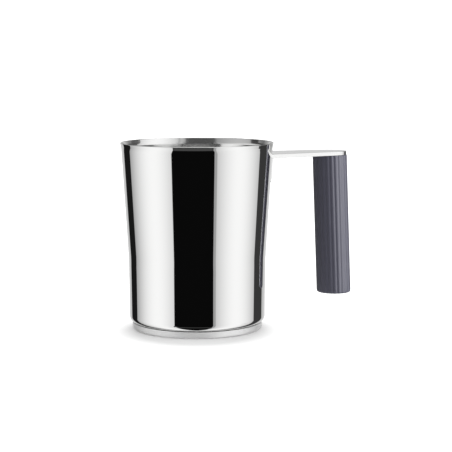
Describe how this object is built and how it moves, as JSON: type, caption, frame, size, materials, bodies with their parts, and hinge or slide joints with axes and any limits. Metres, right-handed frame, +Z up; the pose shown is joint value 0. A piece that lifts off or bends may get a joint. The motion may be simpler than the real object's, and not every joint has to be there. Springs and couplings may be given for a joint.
{
  "type": "melting pot",
  "caption": "Tall polished steel melting pot with a flared cup, a sandwich base and a fluted grip hung under a flat steel handle plate.",
  "frame": {"origin": "centre of the underside of the base, on the surface that the pot stands on", "axes": "+Z up along the cup's axis, +X from the cup towards the handle"},
  "size_m": [0.179, 0.1098, 0.1335],
  "materials": {
    "polished_steel": "mirror-polished stainless steel, satin inside",
    "base_steel": "polished stainless rim, turned underside",
    "plate_steel": "polished stainless plate",
    "core_aluminium": "mill finish",
    "fastener_steel": "bright zinc",
    "grip_plastic": "fine-grained moulded slate plastic"
  },
  "bodies": {
    "root": {"pot_body": "polished_steel", "base_core": "core_aluminium", "base_cap": "base_steel", "handle_plate": "plate_steel", "grip_stud": "fastener_steel", "grip_sleeve": "grip_plastic", "grip_washer": "fastener_steel", "grip_nut": "fastener_steel", "grip_plug": "grip_plastic"}
  },
  "joints": []
}
